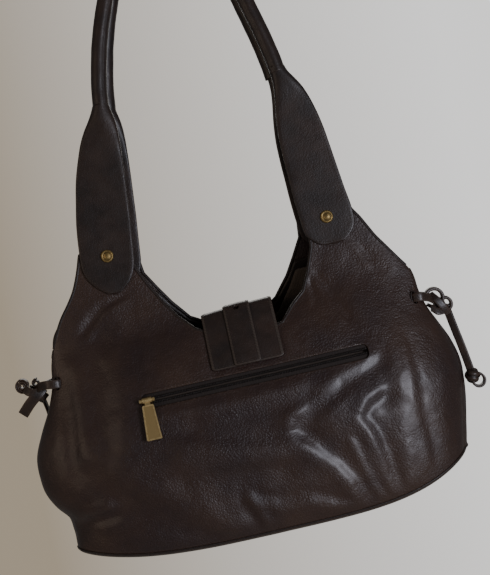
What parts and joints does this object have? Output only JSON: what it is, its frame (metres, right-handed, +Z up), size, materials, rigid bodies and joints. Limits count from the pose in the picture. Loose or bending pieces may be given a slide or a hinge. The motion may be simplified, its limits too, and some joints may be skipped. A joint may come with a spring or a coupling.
{
  "type": "hobo bag",
  "caption": "Soft leather hobo bag with rolled handles on riveted tabs, a zip pocket, a strap closure over the mouth and side ties.",
  "frame": {"origin": "middle of the base, on the surface the bag stands on", "axes": "+X along the bag's width, +Y from the zip-pocket side to the buckle side, +Z up through the handles"},
  "size_m": [0.4208, 0.1392, 0.6071],
  "materials": {
    "body_leather": "pebbled dark brown, semi-gloss",
    "trim_leather": "smooth dark brown, satin",
    "lace_leather": "dark brown lace",
    "lining_cotton": "woven cotton twill",
    "zip_tape": "woven tape",
    "zip_coil": "nylon coil",
    "antique_brass": "antiqued, darkened in the recesses",
    "snap_steel": "plated",
    "base_board": "plain board",
    "core_rope": "cotton rope"
  },
  "bodies": {
    "bag": {"near_panel": "body_leather", "far_panel": "body_leather", "base_panel": "body_leather", "left_gusset": "body_leather", "right_gusset": "body_leather", "near_mouth_facing": "trim_leather", "far_mouth_facing": "trim_leather", "lining": "lining_cotton", "base_board": "base_board", "pocket_pouch": "lining_cotton", "zip_tape_upper": "zip_tape", "zip_tape_lower": "zip_tape", "zip_coil_upper": "zip_coil", "zip_coil_lower": "zip_coil", "closure_anchor": "trim_leather", "strap_anchor": "trim_leather", "magnet_female": "snap_steel", "left_lace": "lace_leather", "right_lace": "lace_leather", "left_knot": "lace_leather", "right_knot": "lace_leather", "left_tie_tail": "lace_leather", "right_tie_tail": "lace_leather", "left_end_knot": "lace_leather", "right_end_knot": "lace_leather"},
    "near_handle": {"near_left_ear": "body_leather", "near_left_tab": "trim_leather", "near_left_backing": "trim_leather", "near_left_rivet": "antique_brass", "near_right_ear": "body_leather", "near_right_tab": "trim_leather", "near_right_backing": "trim_leather", "near_right_rivet": "antique_brass", "near_grip": "trim_leather", "near_grip_core": "core_rope"},
    "far_handle": {"far_left_ear": "body_leather", "far_left_tab": "trim_leather", "far_left_backing": "trim_leather", "far_left_rivet": "antique_brass", "far_right_ear": "body_leather", "far_right_tab": "trim_leather", "far_right_backing": "trim_leather", "far_right_rivet": "antique_brass", "far_grip": "trim_leather", "far_grip_core": "core_rope"},
    "closure_flap": {"closure_tab": "trim_leather", "closure_strap": "trim_leather", "buckle_frame": "antique_brass", "strap_keeper": "trim_leather", "magnet_male": "snap_steel"},
    "buckle_prong": {"buckle_prong": "antique_brass"},
    "zip_slider": {"zip_slider": "antique_brass"},
    "zip_puller": {"zip_puller": "antique_brass"}
  },
  "joints": [
    {"name": "near_handle_fold", "type": "hinge", "parent": "bag", "child": "near_handle", "pos_m": [0, -0.024, 0.247], "axis": [1, 0, 0], "range_deg": [0, 130]},
    {"name": "far_handle_fold", "type": "hinge", "parent": "bag", "child": "far_handle", "pos_m": [0, 0.024, 0.247], "axis": [-1, 0, 0], "range_deg": [0, 130]},
    {"name": "closure_flap_lift", "type": "hinge", "parent": "bag", "child": "closure_flap", "pos_m": [0.0027, -0.03792, 0.205], "axis": [1, 0, 0], "range_deg": [0, 150]},
    {"name": "buckle_prong_swing", "type": "hinge", "parent": "closure_flap", "child": "buckle_prong", "pos_m": [0.0027, 0.04715, 0.19861], "axis": [1, 0, 0], "range_deg": [0, 90]},
    {"name": "zip_slide", "type": "slide", "parent": "bag", "child": "zip_slider", "axis": [1, 0, 0], "range_m": [0, 0.198]},
    {"name": "zip_puller_lift", "type": "hinge", "parent": "zip_slider", "child": "zip_puller", "pos_m": [-0.0937, -0.0608, 0.15079], "axis": [-1, 0, 0], "range_deg": [0, 150]}
  ]
}
